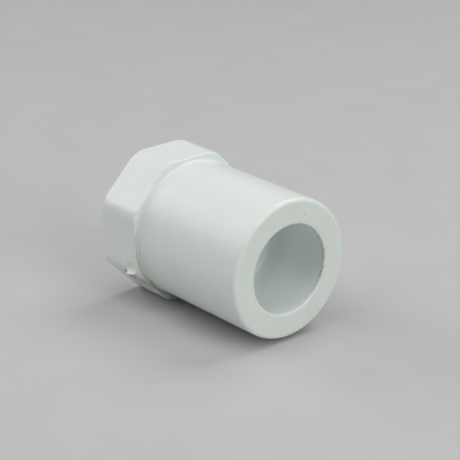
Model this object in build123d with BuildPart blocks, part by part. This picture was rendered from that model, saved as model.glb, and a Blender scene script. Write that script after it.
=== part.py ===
from build123d import *
import math
import os

# Reducing coupling moulded in PVC: a slip socket for 1/2 in. pipe in a round hub,
# and a 3/4-14 female taper pipe thread behind an octagonal wrench collar.
# Millimetres. The flow axis is X. The origin is the centre of the pipe stop's face,
# where the end of a pushed-in pipe comes to rest. +X points out of the slip socket,
# and +Z is square to one flat of the collar.

# ---- slip end ----
socket_radius = 10.72  # 21.34 mm pipe with 0.05 mm of clearance all round
socket_depth = 18.8
hub_radius = 16.7  # at the mouth
hub_root_radius = 16.6  # at the collar, with a slight moulding draft
hub_root_cove = 0.3  # concave rounding where the hub meets the collar
overall_length = 46.8
mouth_rounding = 1.0  # outer edge of the hub's mouth
lip_rounding = 0.5  # inner edge of the hub's mouth

# ---- wrench collar ----
collar_across_flats = 35.0
collar_length = 12.2
collar_corner_rounding = 3.4  # the eight edges along the axis
collar_edge_rounding = 0.4  # around the shoulder that faces the hub
turned_radius = 18.3  # circle to which the corners are turned at both ends of the collar
turned_length = 1.3

# ---- stop between the two ends ----
waterway_radius = 8.0
stop_thickness = 3.5  # straight part of the waterway
stop_length = 8.0  # with the cone behind it
stop_seat_radius = 11.6
stop_edge_rounding = 0.3

# ---- 3/4-14 taper pipe thread ----
thread_pitch = 25.4 / 14
thread_taper = 1 / 32  # loss of radius per length
thread_root_radius = 13.28  # at the end face
thread_height = 1.36
thread_crest = 0.12  # width of the flat along a crest
flank_angle = 30
thread_length = 16.3
thread_shoulder = 0.7  # cone from the last root down to the plain bore
plain_bore_radius = 11.3
entry_radius = 13.9  # 45 degree countersink at the end face

# ---- stations along the axis ----
mouth_x = socket_depth
end_x = socket_depth - overall_length
shoulder_x = end_x + collar_length
thread_end_x = end_x + thread_length
plain_bore_x = thread_end_x + thread_shoulder


def root_radius(x):
    """Radius of the thread's root cone at a station along the axis."""
    return thread_root_radius - (x - end_x) * thread_taper


def entry_station(radius):
    """Station where the 45 degree countersink has this radius."""
    return end_x + entry_radius - radius


def shoulder_station(radius):
    """Station where the cone between the last root and the plain bore has this radius."""
    rise = root_radius(thread_end_x) - plain_bore_radius
    return plain_bore_x - (radius - plain_bore_radius) * thread_shoulder / rise


# where the countersink meets the root cone
entry_x = end_x + (entry_radius - thread_root_radius) / (1 - thread_taper)

os.makedirs("parts", exist_ok=True)

# ---- round hub: slip socket, seat of the stop, plain bore and inner half of the thread's root ----
with BuildPart() as slip_hub:
    with BuildSketch(Plane.XY) as hub_section:
        with BuildLine():
            Polyline(
                (shoulder_x + hub_root_cove, hub_root_radius),
                (mouth_x, hub_radius),
                (mouth_x, socket_radius),
                (0, socket_radius),
                (0, stop_seat_radius),
                (-stop_length, stop_seat_radius),
                (-stop_length, plain_bore_radius),
                (plain_bore_x, plain_bore_radius),
                (thread_end_x, root_radius(thread_end_x)),
                (shoulder_x, root_radius(shoulder_x)),
                (shoulder_x, hub_root_radius + hub_root_cove),
            )
            RadiusArc(
                (shoulder_x, hub_root_radius + hub_root_cove),
                (shoulder_x + hub_root_cove, hub_root_radius),
                -hub_root_cove,
            )
        make_face()
        lip_corner = hub_section.vertices().group_by(Axis.X)[-1].sort_by(Axis.Y)[0]
        fillet(lip_corner, radius=lip_rounding)
        rim_corner = hub_section.vertices().group_by(Axis.X)[-1].sort_by(Axis.Y)[-1]
        fillet(rim_corner, radius=mouth_rounding)
    revolve(axis=Axis.X)

# ---- octagonal collar with the thread's mouth ----
with BuildPart() as wrench_collar:
    with BuildSketch(Plane.YZ.offset(end_x)):
        RegularPolygon(
            radius=collar_across_flats / 2, side_count=8, major_radius=False, rotation=22.5
        )
    extrude(amount=collar_length)
    fillet(wrench_collar.edges().filter_by(Axis.X), radius=collar_corner_rounding)
    fillet(wrench_collar.faces().sort_by(Axis.X)[-1].edges(), radius=collar_edge_rounding)
    # the corners are turned to a circle at the end face and at the shoulder
    with BuildSketch(Plane.XY):
        for face_x, inward in ((end_x, turned_length), (shoulder_x, -turned_length)):
            with BuildLine():
                Polyline(
                    (face_x, turned_radius),
                    (face_x + inward, turned_radius + turned_length),
                    (face_x, turned_radius + turned_length),
                    close=True,
                )
            make_face()
    revolve(axis=Axis.X, mode=Mode.SUBTRACT)
    # countersink and the outer half of the thread's root
    with BuildSketch(Plane.XY):
        with BuildLine():
            Polyline(
                (end_x, 0),
                (end_x, entry_radius),
                (entry_x, root_radius(entry_x)),
                (shoulder_x, root_radius(shoulder_x)),
                (shoulder_x, 0),
                close=True,
            )
        make_face()
    revolve(axis=Axis.X, mode=Mode.SUBTRACT)

# ---- pipe stop: a web with the reduced waterway, opening as a cone towards the thread ----
with BuildPart() as pipe_stop:
    with BuildSketch(Plane.XY) as stop_section:
        with BuildLine():
            Polyline(
                (0, waterway_radius),
                (0, stop_seat_radius),
                (-stop_length, stop_seat_radius),
                (-stop_length, plain_bore_radius),
                (-stop_thickness, waterway_radius),
                close=True,
            )
        make_face()
        stop_edge = stop_section.vertices().group_by(Axis.X)[-1].sort_by(Axis.Y)[0]
        fillet(stop_edge, radius=stop_edge_rounding)
    revolve(axis=Axis.X)

# ---- thread ridge, standing on the root cone of the collar and the hub ----
ridge_start_x = end_x - thread_pitch / 2
ridge_base = thread_crest + 2 * thread_height * math.tan(math.radians(flank_angle))
with BuildPart() as pipe_thread:
    with BuildLine() as ridge_path:
        Helix(
            pitch=thread_pitch,
            height=thread_length + thread_pitch,
            radius=root_radius(ridge_start_x),
            center=(ridge_start_x, 0, 0),
            direction=(1, 0, 0),
            cone_angle=-math.degrees(math.atan(thread_taper)),
        )
    ridge_start = ridge_path.line @ 0
    outward = Vector(0, ridge_start.Y, ridge_start.Z)
    with BuildSketch(Plane(ridge_start, x_dir=outward, z_dir=ridge_path.line % 0)):
        with BuildLine():
            Polyline(
                (0, -ridge_base / 2),
                (0, ridge_base / 2),
                (-thread_height, thread_crest / 2),
                (-thread_height, -thread_crest / 2),
                close=True,
            )
        make_face()
    sweep(path=ridge_path.line, is_frenet=True)
    # both ends are trimmed, to the countersink and to the cone in front of the plain bore
    trim_inside = plain_bore_radius - 0.5
    trim_outside = entry_radius + 0.5
    with BuildSketch(Plane.XY):
        with BuildLine():
            Polyline(
                (entry_station(trim_outside), trim_outside),
                (shoulder_station(trim_outside), trim_outside),
                (shoulder_station(trim_inside), trim_inside),
                (entry_station(trim_inside), trim_inside),
                close=True,
            )
        make_face()
    revolve(axis=Axis.X, mode=Mode.INTERSECT)

for name, piece in {
    "slip_hub": slip_hub,
    "wrench_collar": wrench_collar,
    "pipe_stop": pipe_stop,
    "pipe_thread": pipe_thread,
}.items():
    piece.part.label = name
    export_step(piece.part, f"parts/{name}.step")
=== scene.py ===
import math

import bmesh
import bpy
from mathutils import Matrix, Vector, noise


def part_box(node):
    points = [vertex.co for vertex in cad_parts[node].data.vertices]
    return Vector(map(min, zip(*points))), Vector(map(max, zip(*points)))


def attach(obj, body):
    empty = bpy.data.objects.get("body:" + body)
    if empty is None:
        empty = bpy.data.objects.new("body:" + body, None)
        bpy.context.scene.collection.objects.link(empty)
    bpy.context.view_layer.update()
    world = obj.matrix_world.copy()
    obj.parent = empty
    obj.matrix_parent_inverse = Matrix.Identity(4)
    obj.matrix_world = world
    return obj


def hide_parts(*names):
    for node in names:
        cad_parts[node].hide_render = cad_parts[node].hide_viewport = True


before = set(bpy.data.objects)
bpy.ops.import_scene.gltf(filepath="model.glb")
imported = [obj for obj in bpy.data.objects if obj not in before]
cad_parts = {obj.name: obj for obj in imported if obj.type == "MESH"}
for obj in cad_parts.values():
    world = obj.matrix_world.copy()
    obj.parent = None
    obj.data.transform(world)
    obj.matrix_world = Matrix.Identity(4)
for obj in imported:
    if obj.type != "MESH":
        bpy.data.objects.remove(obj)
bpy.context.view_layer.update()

MM = 0.001
SAME_PLACE = 1e-7  # points closer than this are one, in metres

# ---- stations along the flow axis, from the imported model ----
collar_low, collar_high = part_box("wrench_collar")
stop_low, stop_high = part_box("pipe_stop")
mouth_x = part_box("slip_hub")[1].x
end_x = collar_low.x
shoulder_x = collar_high.x
stop_face_x = stop_high.x
stop_back_x = stop_low.x
plain_bore_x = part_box("pipe_thread")[1].x
floor_z = collar_low.z  # it stands on a flat of the collar, with its axis level
flat_distance = collar_high.z  # from the axis to each flat

# ---- sizes that the boxes don't give, in metres ----
HUB_RADIUS = 16.7 * MM
HUB_ROOT_RADIUS = 16.6 * MM
SOCKET_RADIUS = 10.72 * MM
WATERWAY_RADIUS = 8.0 * MM
SEAT_RADIUS = 11.6 * MM
PLAIN_BORE_RADIUS = 11.3 * MM
ENTRY_RADIUS = 13.9 * MM
TURNED_RADIUS = 18.3 * MM
CORNER_ROUNDING = 3.4 * MM
STRAIGHT_WATERWAY = 3.5 * MM
COVE = 0.3 * MM  # where the hub leaves the collar
RIM_ROUNDING = 1.0 * MM  # outer edge of the mouth
LIP_ROUNDING = 0.5 * MM  # inner edge of the mouth
STOP_FILLET = 0.4 * MM  # where the socket meets the stop
STOP_ROUNDING = 0.3 * MM  # inner edge of the stop
SLEEVE = 0.4 * MM  # wall of the thread's sleeve behind its roots

# ---- 3/4-14 taper pipe thread ----
THREAD_PITCH = 25.4 / 14 * MM
THREAD_TAPER = 1 / 32
THREAD_ROOT_RADIUS = 13.28 * MM
THREAD_HEIGHT = 1.36 * MM
THREAD_CREST = 0.12 * MM
THREAD_LENGTH = 16.3 * MM
thread_end_x = end_x + THREAD_LENGTH

OCTANT = math.pi / 4


def root_radius(x):
    """Radius of the thread's root cone at a station along the axis."""
    return THREAD_ROOT_RADIUS - (x - end_x) * THREAD_TAPER


entry_x = end_x + (ENTRY_RADIUS - THREAD_ROOT_RADIUS) / (1 - THREAD_TAPER)


# ---- mesh helpers ----
def arc(x, radius, size, start, end, steps):
    """Points of a circular arc in the (x, radius) half plane, angles in degrees."""
    points = []
    for i in range(steps + 1):
        a = math.radians(start + (end - start) * i / steps)
        points.append((x + size * math.cos(a), radius + size * math.sin(a)))
    return points


def divided(points, spacing):
    """The same open outline, with points added so that no step is longer than spacing."""
    result = [points[0]]
    for (x0, r0), (x1, r1) in zip(points, points[1:]):
        steps = max(1, math.ceil(math.hypot(x1 - x0, r1 - r0) / spacing))
        for i in range(1, steps + 1):
            t = i / steps
            result.append((x0 + (x1 - x0) * t, r0 + (r1 - r0) * t))
    return result


def clean(points):
    """Drops points that repeat the one before, and a last point that repeats the first."""
    kept = [points[0]]
    for p in points[1:]:
        if math.dist(p, kept[-1]) > SAME_PLACE:
            kept.append(p)
    if math.dist(kept[0], kept[-1]) < SAME_PLACE:
        kept.pop()
    return kept


def around_point(x, radius, angle):
    """A point at an angle about the axis, from +Z towards +Y."""
    return Vector((x, radius * math.sin(angle), radius * math.cos(angle)))


def ring_mesh(name, sections, grime_and_shade=None):
    """A closed ring from one list of points per angle; every list has the same length."""
    rows = len(sections)
    size = len(sections[0])
    vertices = [p for section in sections for p in section]
    faces = []
    for i in range(rows):
        j = (i + 1) % rows
        for k in range(size):
            n = (k + 1) % size
            faces.append((i * size + k, j * size + k, j * size + n, i * size + n))
    return mesh_object(name, vertices, faces, grime_and_shade)


def mesh_object(name, vertices, faces, grime_and_shade=None):
    """A smooth mesh; the last argument gives the dirt and painted shade in the surface at a point,
    from 0 to 1.
    """
    mesh = bpy.data.meshes.new(name)
    mesh.from_pydata([tuple(v) for v in vertices], [], faces)
    dirt_and_shade = mesh.attributes.new("grime_and_shade", "FLOAT", "POINT")
    if grime_and_shade:
        dirt_and_shade.data.foreach_set("value", [grime_and_shade(Vector(v)) for v in vertices])
    work = bmesh.new()
    work.from_mesh(mesh)
    bmesh.ops.remove_doubles(work, verts=work.verts, dist=SAME_PLACE)
    bmesh.ops.recalc_face_normals(work, faces=work.faces)
    work.to_mesh(mesh)
    work.free()
    mesh.validate()
    mesh.shade_smooth()
    mesh.set_sharp_from_angle(angle=math.radians(32))
    obj = bpy.data.objects.new(name, mesh)
    bpy.context.scene.collection.objects.link(obj)
    return obj


def ring_angles(start, end, fine, coarse):
    """Angles once round the axis, closer together from start to end; all in degrees."""
    angles = []
    degrees = start
    while degrees < start + 359.9:
        angles.append(math.radians(degrees))
        degrees += fine if degrees < end else coarse
    return angles


def smooth_step(value, low, high):
    """0 below low, 1 above high, and smooth between."""
    t = min(1.0, max(0.0, (value - low) / (high - low)))
    return t * t * (3 - 2 * t)


def bell(value, middle, width):
    """1 at the middle, falling to nearly 0 two widths away."""
    return math.exp(-(((value - middle) / width) ** 2))


def turned_angle(point):
    """Angle about the axis in degrees, from +Z towards +Y, between 0 and 360."""
    return math.degrees(math.atan2(point.y, point.z)) % 360


def roughness_noise(point, grain):
    """Noise between about -1 and 1 whose features are grain across."""
    return noise.noise(point / grain)


# ---- materials ----
PVC_COLOUR = (0.86, 0.91, 0.875, 1.0)
PVC_SHADE = (0.845, 0.895, 0.86, 1.0)
MATTE_COLOUR = (0.835, 0.905, 0.845, 1.0)
MATTE_SHADE = (0.795, 0.878, 0.81, 1.0)
# the bore's colours are lighter and bluer than the outside's: painted light and a painted bluish
# reflection inside the bore
BORE_PAINTED_LIGHT_COLOUR = (0.88, 0.935, 0.919, 1.0)
BORE_PAINTED_LIGHT_SHADE = (0.875, 0.93, 0.914, 1.0)
SPECK_COLOUR = (0.2, 0.2, 0.18, 1.0)
# the grime colour also serves as painted shade, in crevices and under the lips
GRIME_AND_SHADE_COLOUR = (0.22, 0.185, 0.125, 1.0)
SPOT_SHARE = 0.4


def node(tree, kind, **inputs):
    """A shader node with the named inputs set, or linked where the value is a socket."""
    made = tree.nodes.new(kind)
    for key, value in inputs.items():
        socket = made.inputs[key.replace("_", " ")]
        if isinstance(value, bpy.types.NodeSocket):
            tree.links.new(value, socket)
        else:
            socket.default_value = value
    return made


def ramp(tree, source, stops):
    """A colour ramp on the source, with its stops as (position, colour)."""
    made = tree.nodes.new("ShaderNodeValToRGB")
    tree.links.new(source, made.inputs["Fac"])
    elements = made.color_ramp.elements
    while len(elements) < len(stops):
        elements.new(0.5)
    for element, (position, colour) in zip(elements, stops):
        element.position = position
        element.color = colour
    return made


def grey(value):
    """A colour with its three parts equal."""
    return (value, value, value, 1.0)


def add_spot(tree, place, flecks, spot, size):
    """The specks with one more, at a point of the moulding; SPOT_SHARE is how dark it is."""
    away = node(tree, "ShaderNodeVectorMath")
    away.operation = "DISTANCE"
    tree.links.new(place, away.inputs[0])
    away.inputs[1].default_value = spot
    shade = tree.nodes.new("ShaderNodeMapRange")
    tree.links.new(away.outputs["Value"], shade.inputs["Value"])
    shade.inputs["From Min"].default_value = size * 0.5
    shade.inputs["From Max"].default_value = size
    shade.inputs["To Min"].default_value = SPOT_SHARE
    shade.inputs["To Max"].default_value = 0.0
    both = node(tree, "ShaderNodeMath")
    both.operation = "MAXIMUM"
    tree.links.new(flecks.outputs["Value"], both.inputs[0])
    tree.links.new(shade.outputs["Result"], both.inputs[1])
    return both


def pvc(
    name, colours, roughness, patchiness, peel, grain, specks, mottling=140.0, cells=260.0, spots=()
):
    """Moulded white PVC.

    It has faint mottling between the two colours, cells that may hold a rare speck, single
    spots, grime and painted shade where the mesh says so, orange peel and fine grain. The
    mottling and the cells are in repeats per metre.
    """
    material = bpy.data.materials.new(name)
    material.use_nodes = True
    tree = material.node_tree
    tree.nodes.clear()
    place = node(tree, "ShaderNodeTexCoord").outputs["Object"]
    # colour: mottling from the melt's flow, and rare specks
    flow = node(tree, "ShaderNodeTexNoise", Vector=place, Scale=mottling, Detail=3.0, Roughness=0.55)
    mottled = ramp(tree, flow.outputs["Fac"], [(0.3, colours[0]), (0.62, colours[1])])
    scatter = node(tree, "ShaderNodeTexVoronoi", Vector=place, Scale=cells, Randomness=1.0)
    dots = ramp(tree, scatter.outputs["Distance"], [(0.03, grey(1.0)), (0.075, grey(0.0))])
    chosen = ramp(tree, scatter.outputs["Color"], [(0.80, grey(0.0)), (0.84, grey(specks))])
    flecks = node(tree, "ShaderNodeMath")
    flecks.operation = "MULTIPLY"
    tree.links.new(dots.outputs["Color"], flecks.inputs[0])
    tree.links.new(chosen.outputs["Color"], flecks.inputs[1])
    for spot, size in spots:
        flecks = add_spot(tree, place, flecks, spot, size)
    colour = tree.nodes.new("ShaderNodeMix")
    colour.data_type = "RGBA"
    tree.links.new(flecks.outputs["Value"], colour.inputs["Factor"])
    tree.links.new(mottled.outputs["Color"], colour.inputs["A"])
    colour.inputs["B"].default_value = SPECK_COLOUR
    # grime and painted shade in the crevices and under the lips, broken up by fine noise
    held = tree.nodes.new("ShaderNodeAttribute")
    held.attribute_name = "grime_and_shade"
    broken = node(tree, "ShaderNodeTexNoise", Vector=place, Scale=2600.0, Detail=4.0, Roughness=0.7)
    patchy = ramp(tree, broken.outputs["Fac"], [(0.36, grey(0.45)), (0.6, grey(1.0))])
    cover = node(tree, "ShaderNodeMath")
    cover.operation = "MULTIPLY"
    tree.links.new(held.outputs["Fac"], cover.inputs[0])
    tree.links.new(patchy.outputs["Color"], cover.inputs[1])
    dirtied_and_shaded = tree.nodes.new("ShaderNodeMix")
    dirtied_and_shaded.data_type = "RGBA"
    tree.links.new(cover.outputs["Value"], dirtied_and_shaded.inputs["Factor"])
    tree.links.new(colour.outputs["Result"], dirtied_and_shaded.inputs["A"])
    dirtied_and_shaded.inputs["B"].default_value = GRIME_AND_SHADE_COLOUR
    # roughness: slow patches of slightly duller and shinier skin
    patches = node(tree, "ShaderNodeTexNoise", Vector=place, Scale=420.0, Detail=4.0, Roughness=0.6)
    low = grey(roughness - patchiness)
    high = grey(roughness + patchiness)
    dullness = ramp(tree, patches.outputs["Fac"], [(0.35, low), (0.68, high)])
    # bump: orange peel and grain
    skin = node(tree, "ShaderNodeTexNoise", Vector=place, Scale=700.0, Detail=2.0, Roughness=0.5)
    fine = node(tree, "ShaderNodeTexNoise", Vector=place, Scale=3600.0, Detail=3.0, Roughness=0.6)
    peel_bump = node(
        tree, "ShaderNodeBump", Height=skin.outputs["Fac"], Strength=peel, Distance=0.0001
    )
    grain_bump = node(
        tree,
        "ShaderNodeBump",
        Height=fine.outputs["Fac"],
        Normal=peel_bump.outputs["Normal"],
        Strength=grain,
        Distance=0.00005,
    )
    shader = node(
        tree,
        "ShaderNodeBsdfPrincipled",
        Base_Color=dirtied_and_shaded.outputs["Result"],
        Roughness=dullness.outputs["Color"],
        Normal=grain_bump.outputs["Normal"],
        IOR=1.53,
    )
    output = tree.nodes.new("ShaderNodeOutputMaterial")
    tree.links.new(shader.outputs["BSDF"], output.inputs["Surface"])
    return material


# single dark specks, as (place, size)
OUTSIDE_SPOTS = [
    (Vector((end_x + 6.7 * MM, -flat_distance, 1.8 * MM)), 0.3 * MM),
    (Vector((end_x + 5.1 * MM, -6.0 * MM, flat_distance)), 0.28 * MM),
    (Vector((mouth_x - 1.7 * MM, -HUB_RADIUS, -0.3 * MM)), 0.35 * MM),
]
MOUTH_SPOTS = [(Vector((mouth_x, 4.3 * MM, 12.4 * MM)), 0.3 * MM)]

moulded = pvc(
    "pvc_moulded",
    (PVC_SHADE, PVC_COLOUR),
    roughness=0.34,
    patchiness=0.05,
    peel=0.25,
    grain=0.08,
    specks=0.5,
    spots=OUTSIDE_SPOTS,
)
matte = pvc(
    "pvc_matte",
    (MATTE_SHADE, MATTE_COLOUR),
    roughness=0.62,
    patchiness=0.06,
    peel=0.3,
    grain=0.8,
    specks=0.6,
    mottling=450.0,
    cells=520.0,
    spots=MOUTH_SPOTS,
)
# the bore's copy of the PVC is lighter and bluer: painted light and a painted bluish reflection
bore_skin_painted_light = pvc(
    "pvc_bore_painted_light",
    (BORE_PAINTED_LIGHT_SHADE, BORE_PAINTED_LIGHT_COLOUR),
    roughness=0.24,
    patchiness=0.01,
    peel=0.1,
    grain=0.04,
    specks=0.0,
)


def finish_piece(piece, materials, nodes):
    """Materials, body, CAD nodes and material slot of one zone of the moulding."""
    for material in materials:
        piece.data.materials.append(material)
    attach(piece, "root")
    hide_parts(*nodes)


# ---- round hub with the slip socket ----
def hub_outline():
    """Outline of the hub's wall, with closer points at the lip."""
    coarse = 1.0 * MM
    middling = 0.6 * MM
    fine = 0.1 * MM
    rim_x = mouth_x - RIM_ROUNDING
    rim_radius = HUB_RADIUS - RIM_ROUNDING
    lip_x = mouth_x - LIP_ROUNDING
    lip_radius = SOCKET_RADIUS + LIP_ROUNDING
    land_radius = lip_radius + 0.6 * MM
    throat_x = mouth_x - 1.6 * MM
    foot_x = stop_face_x + STOP_FILLET
    outline = arc(shoulder_x + COVE, HUB_ROOT_RADIUS + COVE, COVE, 180, 270, 8)
    outline += divided([(shoulder_x + COVE, HUB_ROOT_RADIUS), (rim_x, HUB_RADIUS)], coarse)
    outline += arc(rim_x, rim_radius, RIM_ROUNDING, 90, 0, 16)
    outline += divided([(mouth_x, rim_radius), (mouth_x, land_radius)], middling)
    outline += divided([(mouth_x, land_radius), (mouth_x, lip_radius)], fine)
    outline += arc(lip_x, lip_radius, LIP_ROUNDING, 0, -90, 12)
    outline += divided([(lip_x, SOCKET_RADIUS), (throat_x, SOCKET_RADIUS)], fine)
    outline += divided([(throat_x, SOCKET_RADIUS), (foot_x, SOCKET_RADIUS)], coarse)
    outline += arc(foot_x, SOCKET_RADIUS - STOP_FILLET, STOP_FILLET, 90, 180, 10)
    outline += [(stop_face_x, SEAT_RADIUS), (stop_back_x, SEAT_RADIUS)]
    outline += [(stop_back_x, PLAIN_BORE_RADIUS), (plain_bore_x, PLAIN_BORE_RADIUS)]
    outline += [(thread_end_x, root_radius(thread_end_x) + SLEEVE)]
    outline += [(shoulder_x, root_radius(shoulder_x) + SLEEVE)]
    return clean(outline)


def burred_side(point):
    """How strongly the lip is burred there: the side towards +Y was left rough by the core."""
    angle = (turned_angle(point) + 180) % 360 - 180
    return smooth_step(angle, -25, 25) * (1 - smooth_step(angle, 112, 140))


def lip_burrs(x, radius, point):
    """Radius of a point near the socket's lip, with small burrs and chips."""
    size = 0.2 * MM
    reach = 0.4 * MM
    near = bell(x, mouth_x - 0.35 * MM, reach) * bell(radius, SOCKET_RADIUS + 0.1 * MM, reach)
    ragged = roughness_noise(point, 0.9 * MM) + 0.8 * roughness_noise(point, 0.35 * MM)
    return radius + size * near * burred_side(point) * ragged


def hub_grime_and_shade(point):
    """Dirt and painted shade under the burred side of the lip, and a faint darkening inside the bore
    on that side.
    """
    radius = math.hypot(point.y, point.z)
    if point.x < stop_face_x or radius > SOCKET_RADIUS + 1.0 * MM:
        return 0.0
    # a band of dirt and painted shade under the lip, and a faint darkening further in the bore
    wander = 0.34 * MM * roughness_noise(point, 0.45 * MM)
    under_lip_dirt_and_shade = bell(point.x + wander, mouth_x - 0.6 * MM, 0.34 * MM)
    clots = smooth_step(roughness_noise(point, 0.55 * MM), -0.25, 0.35)
    inside = 1 - smooth_step(radius, SOCKET_RADIUS + 0.1 * MM, SOCKET_RADIUS + 0.4 * MM)
    bore_darkening = 0.15 * inside * smooth_step(point.x, mouth_x - 11.0 * MM, mouth_x - 3.0 * MM)
    return burred_side(point) * max(bore_darkening, 0.78 * under_lip_dirt_and_shade * (0.45 + 0.55 * clots))


def make_hub():
    outline = hub_outline()
    sections = []
    # fine where the lip is burred
    for angle in ring_angles(-28.0, 142.0, fine=0.375, coarse=1.0):
        section = []
        for x, r in outline:
            r = lip_burrs(x, r, around_point(x, r, angle))
            section.append(around_point(x, r, angle))
        sections.append(section)
    hub = ring_mesh("slip_hub_shell", sections, hub_grime_and_shade)
    skins = [moulded, matte, bore_skin_painted_light]
    for face in hub.data.polygons:
        x = face.center.x
        radius = math.hypot(face.center.y, face.center.z)
        if x > mouth_x - 0.01 * MM:
            face.material_index = skins.index(matte)
        elif radius < SOCKET_RADIUS + 0.2 * MM and x > stop_face_x:
            face.material_index = skins.index(bore_skin_painted_light)
    finish_piece(hub, skins, ["slip_hub"])


# ---- octagonal collar ----
def octagon_radius(angle, inset):
    """Distance from the axis to a rounded octagon, drawn in by inset."""
    flat = flat_distance - inset
    rounding = CORNER_ROUNDING - inset
    off = abs((angle + OCTANT / 2) % OCTANT - OCTANT / 2)
    centre = (flat - rounding) / math.cos(OCTANT / 2)
    if flat * math.tan(off) <= (flat - rounding) * math.tan(OCTANT / 2):
        return flat / math.cos(off)
    turn = OCTANT / 2 - off
    return centre * math.cos(turn) + math.sqrt(rounding**2 - (centre * math.sin(turn)) ** 2)


GATE_ANGLE = 225.0  # middle of the lower flat on the -Y side, where the gate was cut
GATE_LIP_X = shoulder_x - 2.9 * MM  # the gate's lip runs from here to the shoulder
GATE_REACH = 12.0 * MM  # nothing of the gate is further than this from the flat's middle


def flat_place(angle):
    """Distance along the gate's flat from its middle; it grows from the left flat downwards."""
    off = math.radians(GATE_ANGLE) - angle
    return flat_distance * math.tan(max(-1.0, min(1.0, off)))


def gate_lip(x, along):
    """The smooth lip that flares out above the cut gate, with a shallow scoop over it."""
    flare_length = 1.2 * MM
    drop = 0.12 * MM
    here = smooth_step(x, GATE_LIP_X - 0.6 * MM, GATE_LIP_X)
    front = smooth_step(x, GATE_LIP_X, shoulder_x)
    edge = (-6.55 - 0.45 * front) * MM
    height = (1.05 - 0.3 * front) * MM
    past_edge = along - edge
    if past_edge > drop:
        return 0.0
    scoop = -0.2 * MM * bell(past_edge, -1.7 * MM, 0.8 * MM)
    if past_edge > 0.0:
        flare = height * (1 - past_edge / drop)
    else:
        flare = height * max(0.0, 1 + past_edge / flare_length) ** 2.5
    return here * (flare + scoop)


def gate_share(x, along):
    """1 on the cut face of the gate and 0 outside its uneven outline."""
    middle_x = shoulder_x - 3.3 * MM
    middle_along = -1.3 * MM
    half_length = 3.7 * MM
    half_width = 5.6 * MM
    back = (x - middle_x) / half_length
    down = (along - middle_along) / half_width
    uneven = 0.22 * roughness_noise(Vector((x, along, 0.0)), 1.3 * MM)
    uneven += 0.1 * roughness_noise(Vector((x, along, 0.0)), 0.4 * MM)
    rim = abs(back) ** 2.6 + abs(down) ** 2.2 + uneven
    return (1 - smooth_step(rim, 0.8, 1.0)) * smooth_step(along, -6.6 * MM, -6.0 * MM)


def blade_phase(x, along):
    """Phase of the fine parallel marks that the blade left on the cut face."""
    return (x * 0.8 + along * 0.6) / (0.09 * MM)


def gate_cut(x, along, point):
    """The proud, rough face left where the gate was cut off."""
    strokes = math.sin(blade_phase(x, along) + 2 * roughness_noise(point, 1.1 * MM))
    torn = roughness_noise(point, 0.5 * MM)
    return gate_share(x, along) * (0.24 + 0.06 * strokes + 0.1 * torn) * MM


def edge_nicks(x, angle):
    """Two small dents and a ragged stretch in the front edge beside the top flat."""
    degrees = math.degrees(angle) % 360
    dent = bell(degrees, 320, 0.8) + 0.8 * bell(degrees, 330, 0.7)
    place = around_point(x, flat_distance, angle)
    ragged = 0.5 * bell(degrees, 327, 12) * roughness_noise(place, 0.6 * MM)
    return -0.26 * MM * (dent + ragged) * bell(x, shoulder_x, 0.45 * MM)


def shoulder_flash(radius, angle, point):
    """Ragged flash squeezed out in the corner between the shoulder and the hub."""
    length = 1.1 * MM
    degrees = math.degrees(angle) % 360
    place = bell(degrees, 230.5, 2.6) + 0.8 * bell(degrees, 224, 1.8)
    out = bell(radius, 17.05 * MM, 0.13 * MM)
    ragged = 0.8 + 0.9 * roughness_noise(point, 0.6 * MM)
    return length * place * out * max(0.0, ragged)


def collar_stations():
    """Stations of the collar's outside along the axis, with how far each is drawn in."""
    turned_x = end_x + 1.3 * MM
    fine_x = shoulder_x - 6.2 * MM
    edge = 0.35 * MM
    edge_steps = 8
    stations = divided([(end_x, 0.0), (turned_x, 0.0)], 0.26 * MM)
    stations += divided([(turned_x, 0.0), (fine_x, 0.0)], 0.4 * MM)
    stations += divided([(fine_x, 0.0), (shoulder_x - edge, 0.0)], 0.09 * MM)
    for i in range(1, edge_steps + 1):
        a = math.pi / 2 * i / edge_steps
        stations.append((shoulder_x - edge * (1 - math.sin(a)), edge * (1 - math.cos(a))))
    return clean(stations)


def collar_section(stations, angle):
    """The collar's wall at one angle."""
    shoulder_steps = 12
    end_steps = 6
    cove_radius = HUB_ROOT_RADIUS + COVE
    points = []
    along = flat_place(angle)
    for x, inset in stations:
        turned = TURNED_RADIUS - inset + min(x - end_x, shoulder_x - x)
        radius = min(octagon_radius(angle, inset), turned)
        radius += edge_nicks(x, angle)
        if abs(along) < GATE_REACH:
            place = around_point(x, radius, angle)
            radius += gate_lip(x, along) + gate_cut(x, along, place)
        points.append((x, radius))
    front_radius = points[-1][1]
    for i in range(1, shoulder_steps):
        radius = front_radius + (cove_radius - front_radius) * i / shoulder_steps
        flash = shoulder_flash(radius, angle, around_point(shoulder_x, radius, angle))
        points.append((shoulder_x + flash, radius))
    points.append((shoulder_x, cove_radius))
    points.append((shoulder_x, root_radius(shoulder_x) + SLEEVE))
    points.append((entry_x, root_radius(entry_x) + SLEEVE))
    points.append((entry_x, root_radius(entry_x)))
    points.append((end_x, ENTRY_RADIUS))
    back_radius = points[0][1]
    for i in range(1, end_steps):
        points.append((end_x, ENTRY_RADIUS + (back_radius - ENTRY_RADIUS) * i / end_steps))
    return [around_point(x, r, angle) for x, r in points]


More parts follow.
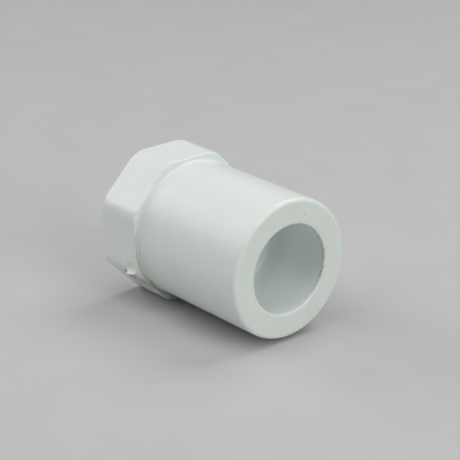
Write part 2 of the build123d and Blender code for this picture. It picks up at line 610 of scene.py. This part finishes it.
def collar_grime_and_shade(point):
    """Painted shade on the cut gate, darkest under its lip, with darker blade streaks; painted shade
    in the corner where the shoulder meets the hub, with dirt on the flash.
    """
    degrees = turned_angle(point)
    radius = math.hypot(point.y, point.z)
    along = flat_place(math.radians(degrees))
    dirt_and_shade = 0.0
    if abs(along) < GATE_REACH and radius > 17.4 * MM:
        # painted shade on the gate's cut face, darkest under the lip and fading downwards, with
        # darker blade streaks
        streaks = 0.5 + 0.5 * math.sin(blade_phase(point.x, along))
        shade_under_lip = 1 - 0.9 * smooth_step(along, -4.4 * MM, 2.4 * MM)
        cloudy = 0.8 + 0.6 * roughness_noise(point, 1.6 * MM)
        dirt_and_shade = (0.64 + 0.26 * streaks) * shade_under_lip * cloudy * gate_share(point.x, along)
    if point.x > shoulder_x - 0.01 * MM:
        # painted shade in the corner between the shoulder and the hub, on the lower and left sides,
        # with dirt where the flash is
        low = bell(degrees, 218, 26)
        side = 0.63 * bell(degrees, 262, 40)
        uneven = 0.85 + 0.5 * roughness_noise(point, 1.2 * MM)
        flash = bell(degrees, 228, 6)
        reach = (0.45 + 0.2 * low + 0.35 * flash) * MM
        dirt_and_shade = min(1.0, max(low, side) * uneven) * bell(radius, 16.85 * MM, reach)
    return dirt_and_shade


def make_collar():
    stations = collar_stations()
    sections = []
    # fine where the gate and the flash are
    for angle in ring_angles(203.0, 256.0, fine=0.2, coarse=0.5):
        sections.append(collar_section(stations, angle))
    collar = ring_mesh("wrench_collar_shell", sections, collar_grime_and_shade)
    finish_piece(collar, [moulded], ["wrench_collar"])


# ---- pipe stop ----
def make_stop():
    steps = 360
    edge_x = stop_face_x - STOP_ROUNDING
    outline = [(stop_back_x, SEAT_RADIUS), (stop_face_x, SEAT_RADIUS)]
    outline += arc(edge_x, WATERWAY_RADIUS + STOP_ROUNDING, STOP_ROUNDING, 0, -90, 8)
    outline += [(stop_face_x - STRAIGHT_WATERWAY, WATERWAY_RADIUS)]
    outline += [(stop_back_x, PLAIN_BORE_RADIUS)]
    outline = clean(outline)
    sections = []
    for i in range(steps):
        angle = 2 * math.pi * i / steps
        sections.append([around_point(x, r, angle) for x, r in outline])
    stop = ring_mesh("pipe_stop_web", sections)
    finish_piece(stop, [bore_skin_painted_light], ["pipe_stop"])


# ---- thread: a sleeve whose inside is the helical profile ----
THREAD_AROUND = 240  # mesh steps in one turn


def thread_depths():
    """Stations within one pitch, as (share of the pitch, height above the root)."""
    half_crest = THREAD_CREST / 2
    half_base = half_crest + THREAD_HEIGHT * math.tan(math.radians(30))
    middle = THREAD_PITCH / 2
    crowned = 1.02  # the crest is very slightly round
    steps = 5
    stations = [(0.0, 0.0), (middle - half_base, 0.0)]
    for i in range(1, steps):
        t = i / steps
        stations.append((middle - half_base + t * (half_base - half_crest), t))
    stations.append((middle - half_crest, 1.0))
    stations.append((middle, crowned))
    stations.append((middle + half_crest, 1.0))
    for i in range(steps - 1, 0, -1):
        t = i / steps
        stations.append((middle + half_base - t * (half_base - half_crest), t))
    stations.append((middle + half_base, 0.0))
    return [(x / THREAD_PITCH, t * THREAD_HEIGHT) for x, t in stations]


def thread_radius(x, height):
    """Inside radius, trimmed by the countersink and by the cone before the plain bore."""
    radius = root_radius(x) - height
    countersink = ENTRY_RADIUS - (x - end_x)
    radius = max(radius, countersink)
    if x > thread_end_x:
        t = (x - thread_end_x) / (plain_bore_x - thread_end_x)
        root = root_radius(thread_end_x)
        radius = min(radius, root + (PLAIN_BORE_RADIUS - root) * t)
    return radius


def thread_angle(i):
    return 2 * math.pi * i / THREAD_AROUND


def add_ring(vertices, x, radius):
    """Adds one ring to the vertices and returns their numbers."""
    ring = []
    for i in range(THREAD_AROUND):
        ring.append(len(vertices))
        vertices.append(around_point(x, radius, thread_angle(i)))
    return ring


def face_of(corners):
    """The corners as a list of faces: one without repeats, or none if it has shrunk to a line."""
    unique = []
    for c in corners:
        if c not in unique:
            unique.append(c)
    return [unique] if len(unique) > 2 else []


def helix_faces(vertices, start_ring, end_ring):
    """The thread's surface, a helix that runs past both ends and is gathered into their rings."""
    depths = thread_depths()
    last = len(depths) - 1
    start_x = end_x - 1.5 * THREAD_PITCH
    turns = math.ceil((plain_bore_x - end_x) / THREAD_PITCH) + 3
    tiny = 0.001 * MM
    index = {}
    for i in range(THREAD_AROUND * turns):
        for s, (share, height) in enumerate(depths):
            x = start_x + THREAD_PITCH * (i / THREAD_AROUND + share)
            if x <= entry_x + tiny:
                index[i, s] = start_ring[i % THREAD_AROUND]
            elif x >= plain_bore_x - tiny:
                index[i, s] = end_ring[i % THREAD_AROUND]
            else:
                index[i, s] = len(vertices)
                vertices.append(around_point(x, thread_radius(x, height), thread_angle(i)))
    faces = []
    for i in range(THREAD_AROUND * turns - 1):
        for s in range(last):
            faces += face_of([index[i, s], index[i + 1, s], index[i + 1, s + 1], index[i, s + 1]])
        next_turn = i + THREAD_AROUND
        if (next_turn + 1, 0) in index:
            here = [index[i, last], index[i + 1, last]]
            faces += face_of(here + [index[next_turn + 1, 0], index[next_turn, 0]])
    return faces


def sleeve_back_faces(vertices, start_ring, end_ring):
    """The back of the sleeve, which lies in the hub and the collar."""
    rings = [start_ring]
    for x in (entry_x, thread_end_x):
        rings.append(add_ring(vertices, x, root_radius(x) + SLEEVE))
    rings.append(end_ring)
    faces = []
    for front, behind in zip(rings, rings[1:]):
        for i in range(THREAD_AROUND):
            j = (i + 1) % THREAD_AROUND
            faces.append([front[i], front[j], behind[j], behind[i]])
    return faces


def make_thread():
    vertices = []
    start_ring = add_ring(vertices, entry_x, root_radius(entry_x))
    end_ring = add_ring(vertices, plain_bore_x, PLAIN_BORE_RADIUS)
    faces = helix_faces(vertices, start_ring, end_ring)
    faces += sleeve_back_faces(vertices, start_ring, end_ring)
    thread = mesh_object("pipe_thread_sleeve", vertices, faces)
    finish_piece(thread, [moulded], ["pipe_thread"])


make_hub()
make_collar()
make_stop()
make_thread()


# ---- floor, light and camera ----
def make_floor():
    material = bpy.data.materials.new("floor_paper")
    material.use_nodes = True
    tree = material.node_tree
    shader = tree.nodes["Principled BSDF"]
    place = node(tree, "ShaderNodeTexCoord").outputs["Object"]
    paper = node(tree, "ShaderNodeTexNoise", Vector=place, Scale=60.0, Detail=4.0)
    tone = ramp(tree, paper.outputs["Fac"], [(0.3, grey(0.54)), (0.7, grey(0.56))])
    tree.links.new(tone.outputs["Color"], shader.inputs["Base Color"])
    shader.inputs["Roughness"].default_value = 0.9
    half = 8.0  # metres; the far edge shows only as a horizon, from low angles
    corners = [(-half, -half), (half, -half), (half, half), (-half, half)]
    vertices = [Vector((x, y, floor_z)) for x, y in corners]
    floor = mesh_object("floor", vertices, [(0, 1, 2, 3)])
    floor.data.materials.append(material)


def compass(azimuth, elevation):
    """Unit vector from the object: azimuth 0 is towards -Y and 90 towards +X."""
    a = math.radians(azimuth)
    e = math.radians(elevation)
    return Vector((math.sin(a) * math.cos(e), -math.cos(a) * math.cos(e), math.sin(e)))


def softbox(name, azimuth, elevation, power, target):
    """A round soft light in a direction from the object."""
    distance = 0.8
    data = bpy.data.lights.new(name, "AREA")
    data.shape = "DISK"
    data.size = 0.55
    data.energy = power
    light = bpy.data.objects.new(name, data)
    bpy.context.scene.collection.objects.link(light)
    away = compass(azimuth, elevation)
    light.location = target + away * distance
    light.rotation_euler = away.to_track_quat("Z", "Y").to_euler()


def make_world(strength):
    world = bpy.data.worlds.new("studio")
    world.use_nodes = True
    background = world.node_tree.nodes["Background"]
    background.inputs["Color"].default_value = (1.0, 1.0, 1.0, 1.0)
    background.inputs["Strength"].default_value = strength
    bpy.context.scene.world = world


def make_camera(centre):
    """Camera without roll, placed as the photographer's was, with a long lens."""
    distance = 0.40706
    right_offset = 0.00169
    up_offset = 0.00235
    back = compass(49.36, 21.82)
    right = (-back).cross(Vector((0, 0, 1))).normalized()
    up = right.cross(-back)
    data = bpy.data.cameras.new("camera")
    data.sensor_width = 36.0
    data.lens = 135.82
    data.clip_start = 0.01
    camera = bpy.data.objects.new("camera", data)
    bpy.context.scene.collection.objects.link(camera)
    camera.location = centre + back * distance + right * right_offset + up * up_offset
    camera.rotation_euler = back.to_track_quat("Z", "Y").to_euler()
    bpy.context.scene.camera = camera


make_floor()
object_centre = Vector(((mouth_x + end_x) / 2, 0.0, 0.0))
softbox("rear_softbox", 180.0, 55.0, 2.31, object_centre)
softbox("low_right_softbox", 90.0, 25.0, 1.74, object_centre)
softbox("low_left_softbox", 290.0, 25.0, 1.51, object_centre)
softbox("overhead_softbox", 0.0, 72.0, 1.43, object_centre)
softbox("right_softbox", 90.0, 55.0, 0.91, object_centre)
softbox("front_softbox", 335.0, 40.0, 0.59, object_centre)
make_world(0.12)
make_camera(object_centre)
bpy.context.scene.view_settings.view_transform = "Standard"
